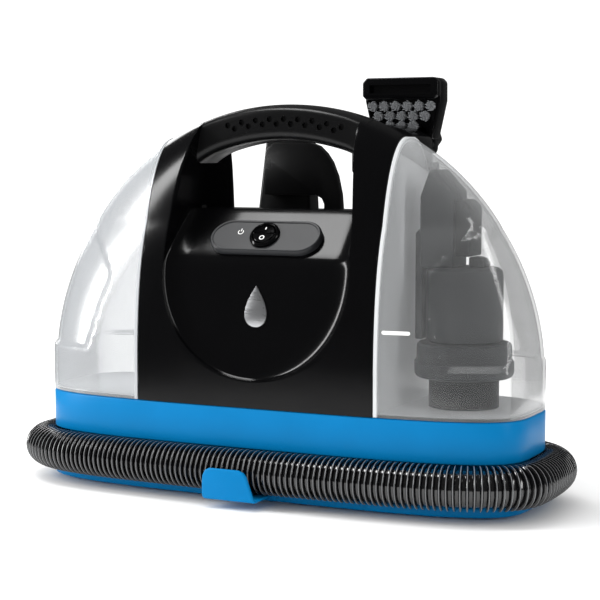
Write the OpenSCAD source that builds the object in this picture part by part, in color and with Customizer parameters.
// Portable spot extractor: domed carpet-spot cleaner with a wrapped hose.
// X is the length (clean tank at -X), -Y is the front, Z is up.
// The origin is on the floor, below the middle of the base.

/* [Envelope] */
// Length over the base and the tanks
machine_len = 386; // [380:1:392]
// Depth over the base band
machine_depth = 128; // [126:1:130]
// Height of the crown of the dome
crown_z = 287; // [284:1:290]

/* [Base] */
// Height of the top of the base band
band_top = 68; // [66:1:70]
// Height of the underside of the base band
band_low = 38.5; // [38:0.5:42]
// Height of the top of the lower flange
flange_top = 9; // [8:0.5:10]
// Depth of the hose groove
groove = 10; // [9:0.5:11]

/* [Walls] */
// Wall thickness of the moulded shells
wall = 2.5; // [2:0.1:3]
// Wall thickness of the clear tanks
tank_wall = 2.2; // [2:0.1:2.6]
// Gap between a tank and the body
tank_gap = 0.8; // [0.6:0.1:1.2]

/* [Body] */
// Half width of the black centre body
body_half = 94.6; // [92:0.1:96]
// Height of the deck below the handle
deck_z = 209.5; // [206:0.5:212]
// Height where the sloped control panel starts
panel_z = 173; // [170:1:176]
// Radius of the round lower end of the recess
recess_r = 75; // [73:0.5:77]
// Height of the centre of that radius
recess_z = 163; // [161:0.5:165]

/* [Handle] */
// Half width of the carry handle, front to back
handle_half = 18; // [16:0.5:19]
// Height of the underside of the handle at its middle
handle_under = 260; // [258:0.5:262]

/* [Hose and wand] */
// Outside diameter of the suction hose
hose_d = 31; // [30:0.5:31.5]
// X of the parked wand
wand_x = 67; // [66:0.5:68]
// Y of the parked wand
wand_y = 79; // [78.8:0.1:79]
// Half depth of the whole machine, to the hose clip and the wand cuff
reach_y = 94; // [94:0.5:95]

/* [Hidden] */
$fn = 48;

half_len = machine_len / 2;
half_depth = machine_depth / 2;
dome_low = 100;
dome_rise = crown_z - dome_low;
tank_x = body_half + tank_gap;
tank_z = band_top + 0.4;
motor_x = 20;
pump_x = -55;
valve_x = -140;
stack_x = 139;
switch_at = [0, -37, 188];
hook_pin = [-38, 226];
trigger_pin = [70, 226];
post_color = "#1b1b1d";

// --- Rules of the dome -----------------------------------------------------

// 1 at the widest height, 0 at the crown
function swell(z) = z <= dome_low ? 1 : sqrt(max(0, 1 - pow((z - dome_low) / dome_rise, 2)));
// Exponents of the plan outline, square below and round above
function ease(z) = let(t = min(1, max(0, (z - 100) / 100))) t;
function along(z) = 3.9 - 1.9 * ease(z);
function across(z) = 3.9 - 1.4 * ease(z);
function dome_a(z) = half_len * swell(z);
function dome_b(z) = half_depth * pow(swell(z), 2 / across(z));
// Half depth of the dome at x and z, drawn in by "inset"
function dome_y(x, z, inset = 0) =
    let(a = dome_a(z) - inset, b = dome_b(z) - inset)
    abs(x) >= a ? 0 : b * pow(1 - pow(abs(x) / a, along(z)), 1 / across(z));
// Height of the dome's upper skin, above z = 200
function dome_z(x, y) =
    dome_low + dome_rise * sqrt(1 - pow(x / half_len, 2) - pow(abs(y) / half_depth, 2.5));

// Solid through rings of equal length; each ring runs anticlockwise seen from the last one
module loft(rings) {
    m = len(rings[0]);
    k = len(rings);
    polyhedron(
        points = [for (r = rings) each r],
        faces = concat(
            [[for (i = [0:m - 1]) i]],
            [[for (i = [m - 1:-1:0]) (k - 1) * m + i]],
            [for (j = [0:k - 2], i = [0:m - 1])
                let(a = j * m + i, b = j * m + (i + 1) % m)
                each [[a, a + m, b + m], [a, b + m, b]]]
        )
    );
}

// Half of the centre body, front side, from height low to high
module body_half_solid(inset, low, high) {
    levels = [low, 100, 125, 150, 172, 190, 206, 220, 233, 244, 254, 262, 269, 275, 280, high];
    steps = 16;
    loft([for (z = levels)
        let(w = min(body_half - inset, dome_a(z) - inset))
        concat([[-w, -0.05, z]],
            [for (i = [0:steps])
                let(x = w * sin(90 * (2 * i / steps - 1)))
                [x, -max(0.6, dome_y(x, z, inset)), z]],
            [[w, -0.05, z]])]);
}

// One tank's outside or inside, at +X
module tank_solid(inset, low, high) {
    x0 = tank_x + inset;
    levels = [low, 100, 120, 140, 158, 175, 190, 204, 216, 227, 237, 245, 252, high];
    steps = 20;
    loft([for (z = levels)
        let(a = dome_a(z) - inset, b = dome_b(z) - inset,
            edge = acos(pow(x0 / a, along(z) / 2)))
        [for (i = [0:steps])
            let(t = edge * (2 * i / steps - 1))
            [a * pow(cos(t), 2 / along(z)), sign(t) * b * pow(abs(sin(t)), 2 / across(z)), z]]]);
}

// Plan outline of the base
module plan(inset) {
    n = 72;
    e = 2 / 3.9;
    polygon([for (i = [0:n - 1])
        let(c = cos(360 * i / n), s = sin(360 * i / n))
        [sign(c) * (half_len - inset) * pow(abs(c), e), sign(s) * (half_depth - inset) * pow(abs(s), e)]]);
}

module slab(inset, low, high) {
    translate([0, 0, low]) linear_extrude(high - low) plan(inset);
}

// --- Recess and opening below the handle -----------------------------------

// Front view of the recess, grown outwards by "grow"
module recess_outline(grow) {
    translate([0, recess_z]) circle(r = recess_r + grow, $fn = 72);
    polygon([
        [-75 - grow, recess_z], [-74 - grow, 211], [-70 - grow, 245], [-65 - grow, 265], [-62 - grow, 300],
        [62 + grow, 300], [65 + grow, 265], [70 + grow, 245], [74 + grow, 211], [75 + grow, recess_z]
    ]);
}

// Side view of the space in front of the recess wall, pushed back by "grow"
module recess_side(grow) {
    polygon([
        [-110, 80], [-58.5 + grow, 80], [-52 + grow, panel_z - 0.4 * grow],
        [-15.5 + grow, deck_z - grow], [2, deck_z - grow], [2, 300], [-110, 300]
    ]);
}

module recess(grow = 0) {
    intersection() {
        rotate([90, 0, 0]) linear_extrude(240, center = true) recess_outline(grow);
        rotate([90, 0, 90]) linear_extrude(240, center = true) recess_side(grow);
    }
}

module half_shell() {
    difference() {
        body_half_solid(0, band_top + 0.2, 286.6);
        recess();
        difference() {
            body_half_solid(wall, band_top - 4, 283);
            recess(wall);
        }
    }
}

// --- Small helpers ----------------------------------------------------------

// Straight rod between two points
module rod(p, q, r) {
    v = q - p;
    h = norm(v);
    translate(p) rotate([0, acos(v[2] / h), atan2(v[1], v[0])]) cylinder(h = h, r = r);
}

// Bent pipe through points, with round corners
module pipe(pts, r) {
    for (i = [0:len(pts) - 2]) rod(pts[i], pts[i + 1], r);
    for (i = [1:1:len(pts) - 2]) translate(pts[i]) sphere(r = r);
}

module ring(outer, inner, low, high) {
    translate([0, 0, low]) difference() {
        cylinder(h = high - low, r = outer);
        translate([0, 0, -1]) cylinder(h = high - low + 2, r = inner);
    }
}

module on_panel() { translate(switch_at) rotate([45, 0, 0]) children(); }

// Prism with a front-view outline between two depths
module front_prism(y0, y1, pts) {
    translate([0, y1, 0]) rotate([90, 0, 0]) linear_extrude(y1 - y0) polygon(pts);
}

module helix(r, wire, low, high, turns) {
    n = turns * 14;
    sides = 6;
    loft([for (i = [0:n])
        let(a = 360 * turns * i / n)
        [for (k = [0:sides - 1])
            let(b = -360 * k / sides, d = r + wire * cos(b))
            [d * cos(a), d * sin(a), low + wire + (high - low - 2 * wire) * i / n + wire * sin(b)]]]);
}

// --- Base -------------------------------------------------------------------

base_screw_at = [[-150, 0], [-80, 36], [-80, -36], [95, 36], [95, -36], [172, 0]];

module base_tub() {
    color("#1a8fd6") difference() {
        union() {
            slab(0, 2, flange_top);
            slab(groove, flange_top, band_low);
            slab(0, band_low, band_top);
        }
        slab(groove + wall, 1, band_low + wall);
        slab(wall, band_low + wall, band_top - wall);
        translate([-80, -48, band_top - 4]) cube([160, 96, 8]);
        translate([valve_x, 0, 60]) cylinder(h = 12, r = 28);
        translate([stack_x, 0, 60]) cylinder(h = 12, r = 23);
        translate([60, 40, 24]) rotate([-90, 0, 0]) cylinder(h = 20, r = 15.2);
        translate([22, -66, 1]) cube([9, 6, 3.2]);
    }
}

module bottom_plate() {
    color("#202022") difference() {
        slab(groove + wall + 0.4, 2, 5);
        for (p = base_screw_at) translate([p[0], p[1], 1]) cylinder(h = 6, r = 4.2);
        for (i = [-4:4]) translate([motor_x + i * 8 - 2, -20, 1]) cube([4, 40, 6]);
        for (x = [-120, 120], y = [-34, 34]) translate([x, y, 1]) cylinder(h = 6, r = 4);
    }
}

module feet() {
    color("#2a2a2c") for (x = [-120, 120], y = [-34, 34]) translate([x, y, 0]) {
        cylinder(h = 2, r = 9);
        cylinder(h = 6, r = 4);
    }
}

module base_screws() {
    color("silver") for (p = base_screw_at) translate([p[0], p[1], 3]) {
        cylinder(h = 2, r = 4);
        cylinder(h = 12, r = 1.8);
    }
}

module hose_clip() {
    color("#1a8fd6") {
        front_prism(-reach_y, -reach_y + 3, [[-22, 6.2], [19.5, 6.2], [17.5, 9], [14.5, 17], [12, 24], [9.5, 27], [5.5, 28.5],
            [-17.5, 28.5], [-21, 27], [-23, 23], [-23.5, 18], [-23.5, 8]]);
        translate([-21, -reach_y + 2.9, 6.2]) cube([40, reach_y - 3 - half_depth, 2]);
    }
}

// --- Body -------------------------------------------------------------------

// Room in the pillars for the ends of the handle
module handle_seat() {
    translate([-66.6, -18.1, 244]) cube([133.2, 36.2, 60]);
}

module front_shell() {
    color("#17171a") difference() {
        half_shell();
        handle_seat();
        on_panel() translate([0, 0, -18]) cylinder(h = 30, r = 11.5);
    }
}

module rear_shell() {
    color("#17171a") difference() {
        mirror([0, 1, 0]) half_shell();
        handle_seat();
        translate([-78, 40, 90]) rotate([-90, 0, 0]) cylinder(h = 40, r = 7.7);
    }
}

module handle() {
    color("#1d1d20") loft([for (i = [0:14])
        let(x = 66.5 * (i / 7 - 1), low = handle_under - 0.003 * x * x, y = handle_half)
        concat([[x, -y + 5, low], [x, y - 5, low], [x, y, low + 5]],
            [for (j = [6:-1:-6]) [x, y * j / 6, dome_z(x, y * j / 6) - 0.2]],
            [[x, -y, low + 5]])]);
}

module shell_screws() {
    color("silver") for (p = [[-84, 110], [84, 110], [-84, 200], [84, 200]])
        translate([p[0], dome_y(p[0], p[1]) - 8, p[1]]) rotate([-90, 0, 0]) {
            cylinder(h = 4, r = 3.5);
        }
}

// Plain drop-shaped emblem
module badge() {
    color("silver") intersection() {
        front_prism(-70, -40, [for (t = [0:10:350]) [12 * sin(t) * pow(sin(t / 2), 1.2), 141 + 15 * cos(t)]]);
        rotate([90, 0, 90]) linear_extrude(60, center = true)
            polygon([[-60.2, 80], [-53.7, panel_z], [-52, panel_z], [-58.5, 80]]);
    }
}

// --- Controls and wiring ----------------------------------------------------

module stadium(half, r, h) {
    for (s = [-1, 1]) translate([s * half, 0, 0]) cylinder(h = h, r = r);
    translate([-half, -r, 0]) cube([2 * half, 2 * r, h]);
}

module control_panel() {
    color("#77787b") on_panel() difference() {
        union() {
            stadium(29.5, 15, 4);
            stadium(29.5, 13, 5);
        }
        translate([0, 0, -1]) cylinder(h = 8, r = 11.6);
    }
}

module switch_housing() {
    color("#141416") on_panel() {
        ring(11.5, 9, 5.05, 7);
        ring(11.4, 9, -1, 5.05);
        difference() {
            translate([0, 0, -16]) cylinder(h = 15, r = 11);
            translate([0, 0, -4]) cylinder(h = 6, r = 9);
        }
    }
}

module rocker() {
    color("#0f0f10") on_panel() difference() {
        union() {
            translate([0, 0, 2.5]) cylinder(h = 5, r = 8.3);
            translate([-8.8, 0, 5]) rotate([0, 90, 0]) cylinder(h = 17.6, r = 1.5);
        }
        translate([-12, 0, 7.5]) rotate([-8, 0, 0]) cube([24, 12, 4]);
    }
}

module wiring() {
    color("#3a3a3c") {
        pipe([[-6, -26, 173], [-6, -26, 166], [-78, -26, 166], [-78, -26, 90], [-78, 52, 90]], 1.8);
        pipe([[6, -26, 173], [6, -26, 163], [motor_x, -26, 163]], 1.8);
        translate([-80, -29, 110]) cube([4, 6, 26]);
    }
}

module cord_gland() {
    color("#222224") translate([-78, 53, 90]) rotate([-90, 0, 0]) difference() {
        union() {
            cylinder(h = 22, r1 = 7.5, r2 = 5.5);
            translate([0, 0, 11]) cylinder(h = 3, r = 9.5);
        }
        translate([0, 0, -1]) cylinder(h = 30, r = 3.4);
    }
}

// --- Suction motor ----------------------------------------------------------

module motor_can() {
    color("#8d8f92") translate([motor_x, 0, 0]) {
        ring(42, 40, 86, 158);
        difference() {
            ring(42, 12, 84, 86);
            for (a = [0:45:315]) rotate(a) translate([28, 0, 80]) cylinder(h = 10, r = 5);
        }
        difference() {
            ring(42, 12, 158, 160);
            for (a = [0:45:315]) rotate(a) translate([28, 0, 155]) cylinder(h = 10, r = 5);
        }
    }
}

module motor_field() {
    color("#6b4a2a") translate([motor_x, 0, 0]) ring(39.8, 26, 98, 136);
}

module motor_bearings() {
    color("#b8b8ba") translate([motor_x, 0, 0]) {
        ring(11.9, 4.05, 84, 90);
        ring(11.9, 4.05, 154, 160);
    }
}

module armature() {
    color("#a5642e") translate([motor_x, 0, 0]) {
        translate([0, 0, 60]) cylinder(h = 102, r = 4);
        translate([0, 0, 100]) cylinder(h = 34, r = 25);
        translate([0, 0, 138]) cylinder(h = 10, r = 13);
    }
}

module fan() {
    color("#c9cacc") translate([motor_x, 0, 0]) {
        ring(43, 4, 63, 64.5);
        ring(9, 4, 64.5, 76);
        for (i = [0:8]) rotate(i * 40) translate([8, -1, 64]) cube([33, 2, 10]);
        ring(43, 24, 73.5, 75);
    }
}

module fan_housing() {
    color("#2c2c2f") translate([motor_x, 0, 0]) {
        ring(47.5, 45.5, 57, 82);
        difference() {
            ring(47.5, 10, 55, 57);
            translate([-38, 0, 50]) cylinder(h = 12, r = 8);
        }
        ring(47.5, 12.5, 80, 82);
    }
}

// --- Pump and water line ----------------------------------------------------

module pump_body() {
    color("#e6e6e2") translate([pump_x, 0, 0]) difference() {
        union() {
            translate([0, 0, 70]) cylinder(h = 40, r = 12);
            translate([0, 0, 108]) cylinder(h = 4, r = 17);
        }
        translate([0, 0, 80]) cylinder(h = 40, r = 5.05);
        translate([0, 0, 60]) cylinder(h = 25, r = 3);
    }
}

module pump_coil() {
    color("#7a4b2a") translate([pump_x, 0, 0]) ring(17, 7, 112.2, 144);
}

module pump_plunger() {
    color("#9a9ca0") translate([pump_x, 0, 92]) cylinder(h = 56, r = 5);
}

module inlet_tube() {
    color("#dfe3e6") pipe([[valve_x + 6, 0, 34], [valve_x + 6, 0, 24], [pump_x, 0, 24], [pump_x, 0, 69.8]], 3.3);
}

module outlet_tube() {
    color("#dfe3e6") pipe([[pump_x, 12.1, 96], [pump_x, 34, 96], [pump_x, 34, 50], [60, 34, 50], [60, 34, 35]], 3);
}

// --- Air path ---------------------------------------------------------------

module suction_duct() {
    color("#3d3e41") difference() {
        pipe([[60, 40, 24], [60, 11.5, 24], [stack_x, 11.5, 24], [stack_x, 11.5, 57.8]], 10.5);
        pipe([[60, 41, 24], [60, 11.5, 24], [stack_x, 11.5, 24], [stack_x, 11.5, 59]], 8.8);
    }
}

module air_duct() {
    color("#3d3e41") difference() {
        pipe([[stack_x, -11.5, 57.8], [stack_x, -11.5, 40], [motor_x - 38, -11.5, 40], [motor_x - 38, 0, 40],
            [motor_x - 38, 0, 54.8]], 9);
        pipe([[stack_x, -11.5, 59], [stack_x, -11.5, 40], [motor_x - 38, -11.5, 40], [motor_x - 38, 0, 40],
            [motor_x - 38, 0, 56]], 7.5);
    }
}

module duct_manifold() {
    color("#2c2c2f") translate([stack_x, 0, 58]) difference() {
        union() {
            cylinder(h = 20, r = 22);
            cylinder(h = 6, r = 22.8);
        }
        for (y = [-11.5, 11.5]) translate([0, y, -1]) cylinder(h = 24, r = 8.8);
    }
}

module hose_port() {
    color("#232325") {
        translate([40, 51, 24]) rotate_extrude(angle = 90) translate([20, 0]) difference() {
            circle(r = 14.4);
            circle(r = 12.5);
        }
        translate([60, 40.4, 24]) rotate([-90, 0, 0]) difference() {
            cylinder(h = 10.6, r = 15);
            translate([0, 0, 2]) cylinder(h = 12, r = 12.5);
            translate([0, 0, -1]) cylinder(h = 5, r = 8.8);
        }
    }
}

// --- Clean water tank -------------------------------------------------------

module valve_well() {
    color("#2c2c2f") translate([valve_x, 0, 0]) {
        ring(27.6, 25.4, 34, 65.4);
        difference() {
            translate([0, 0, 32]) cylinder(h = 2, r = 27.6);
            translate([6, 0, 30]) cylinder(h = 6, r = 3.4);
        }
        translate([0, 0, 34]) cylinder(h = 8, r = 3);
    }
}

module clean_tank() {
    color("#dfe6ea", 0.6) mirror([1, 0, 0]) difference() {
        union() {
            tank_solid(0, tank_z, 261.5);
            translate([-valve_x, 0, 52]) cylinder(h = 17, r = 18);
        }
        tank_solid(tank_wall, tank_z + 2.4, 257.5);
        translate([-valve_x, 0, 50]) cylinder(h = 24, r = 15.5);
    }
}

module clean_cap() {
    color("#2b2b2e") translate([valve_x, 0, 0]) {
        ring(22.2, 18.4, 48, 64);
        ring(22.2, 5, 46, 48);
        difference() {
            ring(11, 9.2, 48, 63);
            for (a = [0:60:120]) rotate(a) translate([-14, -3, 53]) cube([28, 6, 8]);
        }
        ring(11, 3.3, 63, 65);
    }
}

module cap_seal() {
    color("#c9433a") translate([valve_x, 0, 0]) ring(18.2, 12, 48.1, 51.8);
}

module valve_poppet() {
    color("#e6e6e2") translate([valve_x, 0, 0]) {
        translate([0, 0, 43]) cylinder(h = 18, r = 3);
        translate([0, 0, 48.1]) cylinder(h = 2.5, r = 8);
    }
}

module valve_spring() {
    color("silver") translate([valve_x, 0, 0]) helix(5.5, 0.6, 50.8, 62.9, 4);
}

// --- Collection tank --------------------------------------------------------

module collection_tank() {
    color("#c3cbd0", 0.5) difference() {
        tank_solid(0, tank_z, 261.5);
        tank_solid(tank_wall, tank_z + 2.4, 257.5);
        translate([stack_x, 0, 60]) cylinder(h = 14, r = 25.05);
    }
}

module stack_riser() {
    color("#55585c") translate([stack_x, 0, 0]) ring(25, 22.9, tank_z, 118);
}

module stack_collar() {
    color("#6d7074") translate([stack_x, 0, 0]) rotate_extrude() polygon([
        [25.1, 92], [32, 92], [34.5, 94], [35.5, 98], [35.5, 112], [33, 117], [25.1, 117]
    ]);
}

module separator() {
    color("#6d7074") translate([stack_x, 0, 0]) {
        difference() {
            ring(27.4, 25.4, 118.2, 168);
            for (a = [40, 140, 220, 320]) rotate(a) translate([20, -6, 124]) cube([12, 12, 14]);
        }
        front_prism(-13, 13, [[-33, 118.4], [-27.2, 118.4], [-27.2, 200], [-33, 194]]);
        difference() {
            translate([0, 0, 168]) cylinder(h = 2.4, r = 27.4);
            translate([-28, -12, 160]) cube([22, 24, 12]);
        }
        difference() {
            front_prism(-15, 15, [[-29, 170.2], [-4, 170.2], [-4, 224], [-18, 239], [-22, 239], [-29, 220]]);
            front_prism(-13, 13, [[-27, 160], [-6, 160], [-6, 220], [-20, 228], [-27, 218]]);
            translate([-10, -10, 205]) cube([12, 20, 12]);
        }
    }
}

module deflector() {
    color("#3c3d40") translate([stack_x, 0, 0]) difference() {
        front_prism(-13, 13, [[-3.8, 178], [8, 178], [8, 213], [3, 218], [-3.8, 218]]);
        front_prism(-11, 11, [[-5, 170], [6, 170], [6, 211], [2, 216], [-5, 216]]);
    }
}

module float() {
    color("#e8e8e4") translate([stack_x, 0, 0]) difference() {
        translate([0, 0, 119]) cylinder(h = 26, r = 20);
        translate([0, 0, 110]) cylinder(h = 33, r = 18);
    }
}

module float_guide() {
    color("#161618") translate([stack_x + 5, -7, 170.5]) difference() {
        cube([12, 14, 7.3]);
        translate([6, 7, -1]) cylinder(h = 12, r = 3);
    }
}

// --- Hose -------------------------------------------------------------------

// Centre line of the wrapped hose, from its port round the base and up to the wand
hose_route = [
    [40, 71, 24], [0, 71, 24], [-60, 71, 24], [-110, 69, 24], [-140, 66, 24], [-160, 62, 24], [-175, 56, 24],
    [-187, 48, 24], [-195, 38, 24], [-199, 25, 24], [-200, 0, 24], [-199, -25, 24], [-195, -38, 24],
    [-187, -48, 24], [-175, -56, 24], [-160, -62, 24], [-140, -66, 24], [-110, -69, 24], [-60, -71, 24],
    [0, -72, 24], [60, -71, 24], [110, -69, 24], [140, -66, 24], [160, -62, 24], [175, -56, 24], [187, -48, 24],
    [195, -38, 24], [199, -25, 24], [200, 0, 24], [199, 25, 24], [195, 38, 24], [187, 49, 24], [175, 58, 24],
    [160, 65, 24], [143, 70, 25], [125, 75, 28], [107, 78, 35], [91, 80, 47], [77, 80, 61], [69, 80, 74],
    [67, 80, 84]
];

function spline(p, i, t) =
    let(a = p[max(0, i - 1)], b = p[i], c = p[i + 1], d = p[min(len(p) - 1, i + 2)])
    0.5 * (2 * b + t * (c - a) + t * t * (2 * a - 5 * b + 4 * c - d) + t * t * t * (3 * b - a - 3 * c + d));

module hose() {
    sides = 12;
    last = len(hose_route) - 1;
    line = [for (i = [0:last - 1], t = [0, 0.5]) spline(hose_route, i, t)];
    path = concat(line, [hose_route[last]]);
    n = len(path);
    color("#18181a") loft([for (i = [0:n - 1])
        let(v = path[min(n - 1, i + 1)] - path[max(0, i - 1)],
            f = v / norm(v),
            s = cross(f, [0, 0, 1]), out = s / norm(s), up = cross(out, f))
        [for (k = [0:sides - 1])
            let(a = 360 * k / sides)
            path[i] + hose_d / 2 * (cos(a) * out + sin(a) * up)]]);
}

module hose_cuff() {
    color("#18181a") translate([wand_x, wand_y, 0]) rotate_extrude() polygon([
        [11, 91.5], [14.6, 91.5], [15, 94], [15, 100], [14, 116], [11, 116]
    ]);
}

// --- Wand -------------------------------------------------------------------

module wand_outline(r) {
    polygon([for (i = [0:35]) [r * cos(10 * i) * 1.02, r * sin(10 * i)]]);
}

module wand_half(side) {
    translate([wand_x, wand_y, 0]) difference() {
        union() {
            translate([0, 0, 116.2]) linear_extrude(20) wand_outline(13.4);
            translate([0, 0, 136]) linear_extrude(112) wand_outline(14);
        }
        translate([0, 0, 110]) linear_extrude(135) wand_outline(11.6);
        translate([0, 0, 240]) cylinder(h = 20, r = 11);
        translate([-30, side > 0 ? -60 : 0, 100]) cube([60, 60, 160]);
    }
}

module wand_front() {
    color("#19191b") difference() {
        wand_half(-1);
        translate([wand_x - 7.5, wand_y - 20, 176]) cube([15, 20.1, 58]);
    }
    color("#19191b") translate([wand_x - 8, trigger_pin[0], trigger_pin[1]]) rotate([0, 90, 0]) cylinder(h = 16, r = 1.5);
}

module wand_rear() {
    color("#19191b") wand_half(1);
}

module trigger() {
    color("#1a8fd6") difference() {
        union() {
            translate([wand_x - 6.8, trigger_pin[0], trigger_pin[1]]) rotate([0, 90, 0]) cylinder(h = 13.6, r = 4);
            translate([wand_x - 6.8, 59, 182]) cube([13.6, 8.5, 45]);
        }
        translate([wand_x - 20, trigger_pin[0], trigger_pin[1]]) rotate([0, 90, 0]) cylinder(h = 40, r = 1.56);
    }
}

module spray_valve() {
    color("#e6e6e2") translate([wand_x, wand_y + 6, 0]) {
        translate([0, 0, 176]) cylinder(h = 40, r = 4.5);
        translate([0, 0, 118]) cylinder(h = 58, r = 2);
        translate([0, 0, 216]) cylinder(h = 28, r = 2);
    }
}

// --- Brush tool -------------------------------------------------------------

module tool_body() {
    color("#161618") difference() {
        union() {
            front_prism(60, 76, [[42, 261], [90, 261], [96.5, 290], [96.5, 304], [93, 307.5], [38.5, 307.5],
                [35, 304], [35, 290]]);
            front_prism(54, 60.01, [[38, 291], [93.5, 291], [96.5, 294], [96.5, 304], [93, 307.5], [38.5, 307.5],
                [35, 304], [35, 294]]);
            translate([wand_x, wand_y, 248.2]) cylinder(h = 14, r = 13);
            front_prism(60, 84, [[52, 253], [84, 253], [90, 261], [86, 272], [48, 272], [44, 261.1]]);
        }
        front_prism(53, 72, [[41, 296], [90.5, 296], [90.5, 302], [41, 302]]);
        front_prism(65, 72, [[48, 266], [84, 266], [90, 297], [42, 297]]);
        translate([wand_x, wand_y, 240]) cylinder(h = 27, r = 9.5);
        translate([80.5, 61, 250]) cube([12, 12, 11]);
    }
}

module tool_window() {
    color("#2a2c2e", 0.8) front_prism(76.1, 78, [[48, 274], [86, 274], [92, 292], [92, 303], [40, 303], [40, 292]]);
}

module tool_latch() {
    color("#0e0e0f") {
        translate([83.5, 62, 251]) cube([3, 10, 9.4]);
        translate([86, 67, 255.7]) rotate([0, 90, 0]) cylinder(h = 4.6, r = 5.2);
    }
}

module spray_nozzle() {
    color("#d9c94a") translate([wand_x, 59.9, 264.3]) rotate([90, 0, 0]) difference() {
        cylinder(h = 4, r1 = 2.8, r2 = 2.2);
        translate([0, 0, 1]) cylinder(h = 4, r = 1);
    }
}

tuft_rows = [[286, 6], [278.6, 5], [271.2, 3]];

module bristles() {
    color("#9b9da0") for (row = tuft_rows, i = [0:row[1] - 1])
        translate([wand_x - 0.5 + 9.4 * (i - (row[1] - 1) / 2), 59.9, row[0]])
            rotate([90, 0, 0]) cylinder(h = 6, r = 3.9, $fn = 16);
}

// --- Parking fittings on the back ------------------------------------------

module wand_holster() {
    color("#17171a") difference() {
        front_prism(20, 64, [[44, 236], [94.8, 236], [94.8, 260], [92, 264], [84, 268], [72, 271], [58, 272.5],
            [48, 271], [44, 262]]);
        mirror([0, 1, 0]) body_half_solid(-0.05, band_top, 286.9);
        translate([wand_x, wand_y, 230]) cylinder(h = 50, r = 15.4);
        translate([40, 50, 244]) cube([60, 20, 40]);
        translate([wand_x - 9, 50, 230]) cube([18, 20, 12]);
    }
}

module cord_post() {
    color(post_color) difference() {
        union() {
            front_prism(72, 91, [[-62, 104], [-18, 104], [-18, 207], [-21, 262], [-57, 262], [-64, 207]]);
            front_prism(64.1, 72.05, [[-60, 104], [-20, 104], [-20, 128], [-60, 128]]);
        }
        front_prism(75, 88, [[-58, 110], [-22, 110], [-22, 206], [-24, 256], [-54, 256], [-59.5, 206]]);
        translate([hook_pin[0], 60, hook_pin[1]]) rotate([-90, 0, 0]) cylinder(h = 20, r = 5.06);
    }
}

module cord_hook() {
    color("#1f1f22") {
        difference() {
            front_prism(64.4, 71.4, [[-54, 218], [-54, 250], [-46, 259], [-12, 259], [-2, 252.5], [4, 244.5], [9, 233],
                [12, 219], [12.7, 208], [12.7, 160], [7, 152], [-2, 152], [-2, 212], [-5, 216], [-10, 218]]);
        }
        translate([hook_pin[0], 71.3, hook_pin[1]]) rotate([-90, 0, 0]) cylinder(h = 6, r = 5);
    }
}

module cord_foot() {
    color(post_color) difference() {
        front_prism(64.1, reach_y, [[-58, 84], [-26, 84], [-26, 103.8], [-58, 103.8]]);
        front_prism(70, reach_y - 4, [[-60, 88], [-24, 88], [-24, 110], [-60, 110]]);
    }
}

base_tub();
bottom_plate();
feet();
hose_clip();
base_screws();
front_shell();
rear_shell();
handle();
shell_screws();
badge();
control_panel();
switch_housing();
rocker();
wiring();
cord_gland();
motor_can();
motor_field();
motor_bearings();
armature();
fan();
fan_housing();
pump_body();
pump_coil();
pump_plunger();
inlet_tube();
outlet_tube();
suction_duct();
air_duct();
duct_manifold();
hose_port();
valve_well();
clean_tank();
clean_cap();
cap_seal();
valve_poppet();
valve_spring();
collection_tank();
stack_riser();
stack_collar();
separator();
deflector();
float();
float_guide();
hose();
hose_cuff();
wand_front();
wand_rear();
trigger();
spray_valve();
tool_body();
tool_window();
tool_latch();
spray_nozzle();
bristles();
wand_holster();
cord_post();
cord_hook();
cord_foot();
